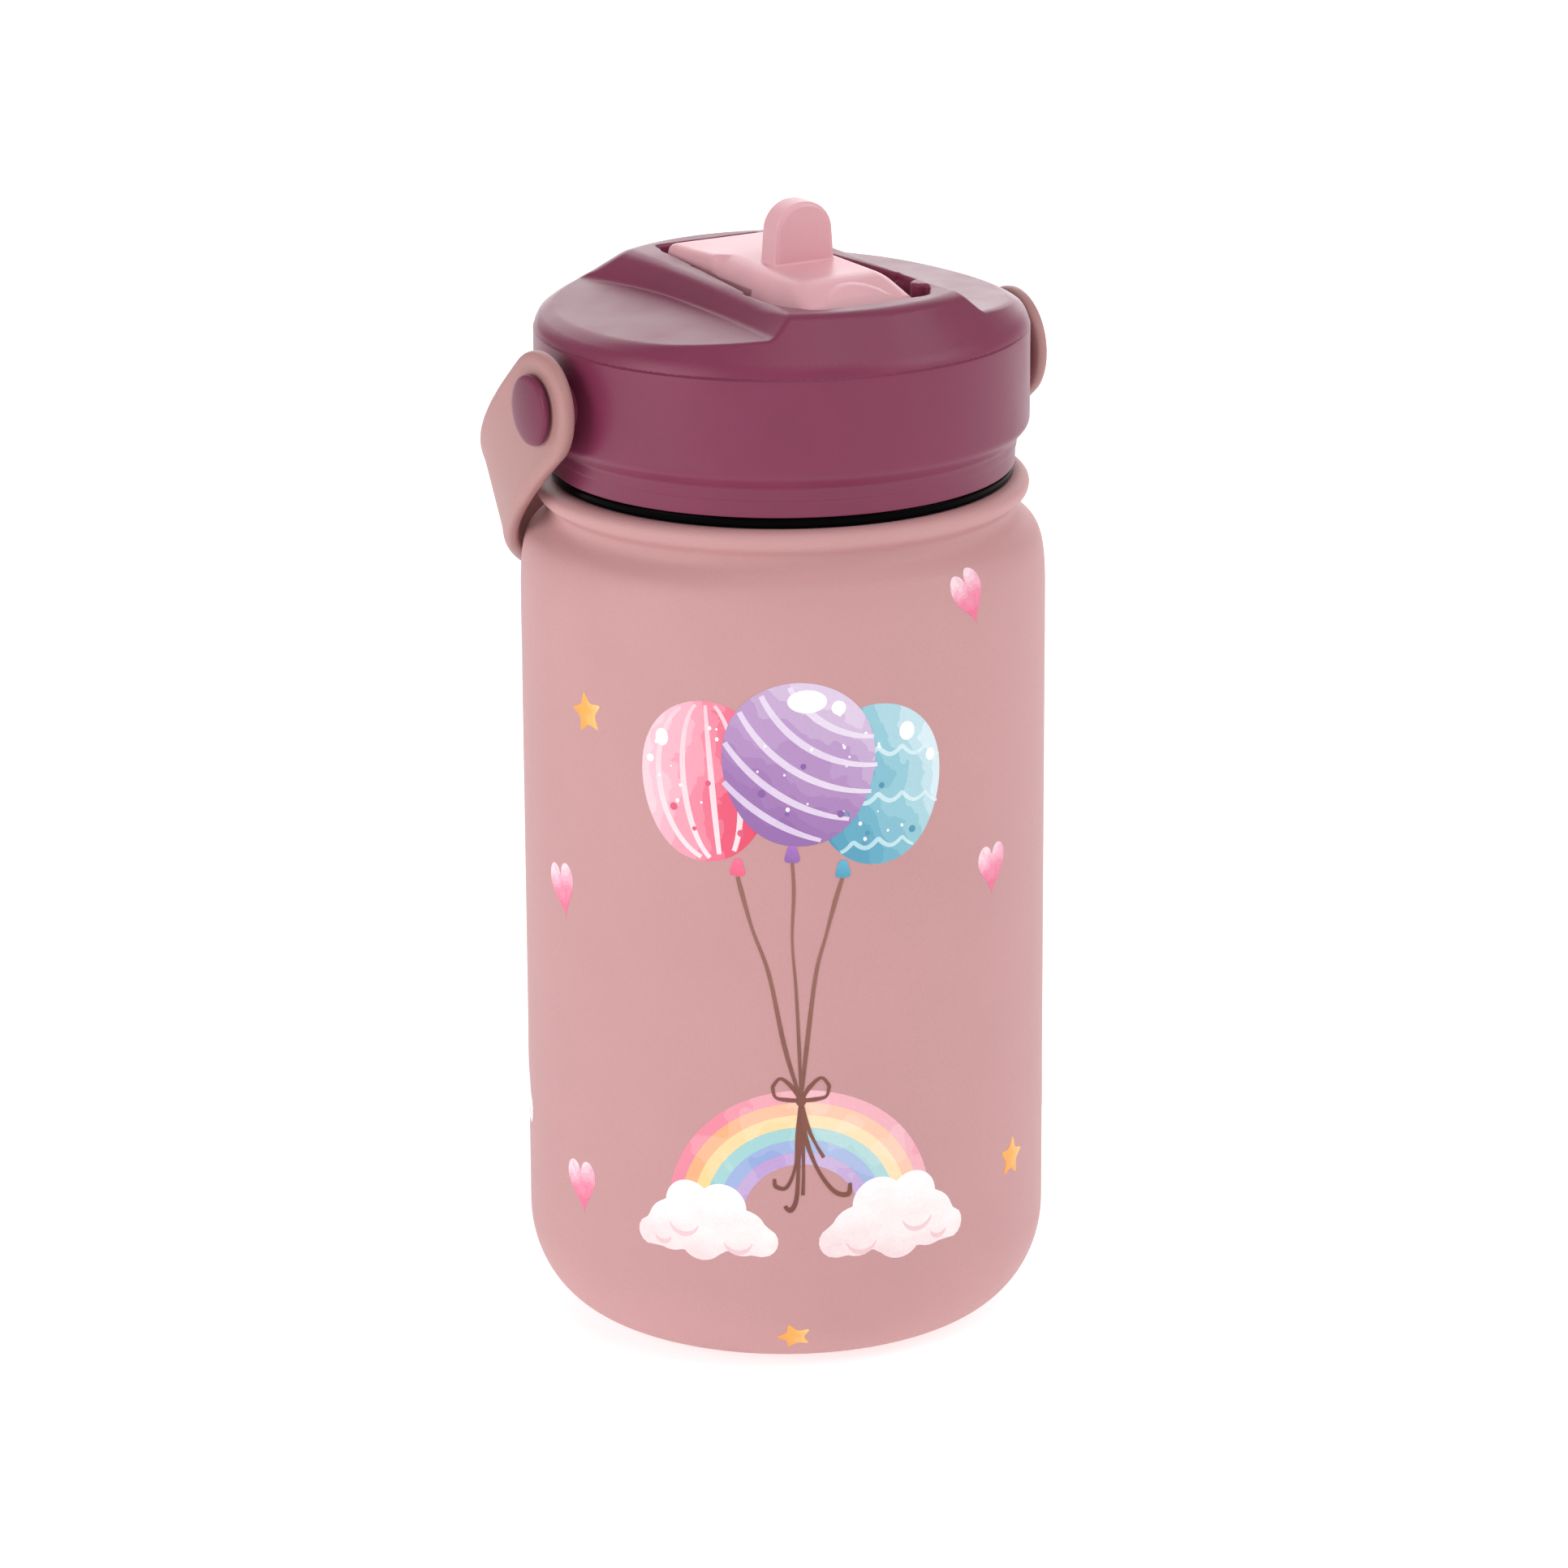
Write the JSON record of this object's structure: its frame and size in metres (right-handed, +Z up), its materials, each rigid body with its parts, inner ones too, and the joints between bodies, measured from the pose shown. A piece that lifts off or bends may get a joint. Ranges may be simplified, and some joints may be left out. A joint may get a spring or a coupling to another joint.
{
  "type": "kids water bottle",
  "caption": "Insulated children's drinking bottle with a screw lid, flip-up straw spout and a carry strap that swings on side rivets.",
  "frame": {"origin": "centre of the flat base, on the surface that the bottle stands on", "axes": "+Z up along the bottle axis; the strap rivets lie along X; the spout lies along Y with its hinge towards -Y, and the strap hangs at +Y"},
  "size_m": [0.08, 0.076, 0.1594],
  "materials": {
    "coat": "matt powder coat",
    "steel": "brushed stainless steel",
    "black_silicone": "smooth silicone",
    "plum_plastic": "satin moulded plastic",
    "white_plastic": "natural moulded plastic",
    "white_silicone": "soft silicone",
    "clear_plastic": "translucent straw tube",
    "pink_plastic": "satin moulded plastic",
    "pink_silicone": "matt silicone",
    "print_ink": "printed picture in several inks"
  },
  "bodies": {
    "bottle": {"outer_shell": "coat", "base_plate": "coat", "vacuum_plug": "steel", "getter_capsule": "steel", "inner_vessel": "steel", "neck_finish": "steel", "neck_thread": "steel"},
    "lid_rise": {"neck_seal": "black_silicone"},
    "lid": {"lid_ring": "plum_plastic", "lid_insert": "white_plastic", "lid_thread": "white_plastic", "lid_gasket": "white_silicone", "lid_cover": "plum_plastic", "hinge_pin_left": "steel", "hinge_pin_right": "steel", "hub_seat": "white_silicone", "straw_connector": "white_plastic", "straw": "clear_plastic", "vent_valve": "white_silicone", "strap_washer_left": "plum_plastic", "strap_washer_right": "plum_plastic", "strap_rivet_left": "plum_plastic", "strap_rivet_right": "plum_plastic"},
    "spout": {"flip_spout": "pink_plastic", "spout_tube": "white_silicone", "hub_washers": "white_silicone"},
    "strap": {"carry_strap": "pink_silicone"}
  },
  "joints": [
    {"name": "lid_climb", "type": "slide", "parent": "bottle", "child": "lid_rise", "axis": [0, 0, 1], "range_m": [0, 0.0076]},
    {"name": "lid_unscrew", "type": "hinge", "parent": "lid_rise", "child": "lid", "pos_m": [0, 0, 0], "axis": [0, 0, 1], "range_deg": [0, 540]},
    {"name": "spout_flip", "type": "hinge", "parent": "lid", "child": "spout", "pos_m": [0, -0.014, 0.1448], "axis": [1, 0, 0], "range_deg": [0, 90]},
    {"name": "strap_swing", "type": "hinge", "parent": "lid", "child": "strap", "pos_m": [0, 0, 0.134], "axis": [1, 0, 0], "range_deg": [0, 200]}
  ],
  "couplings": [
    {"joint": "lid_climb", "follows": "lid_unscrew", "m_per_rad": 0.00079577}
  ]
}
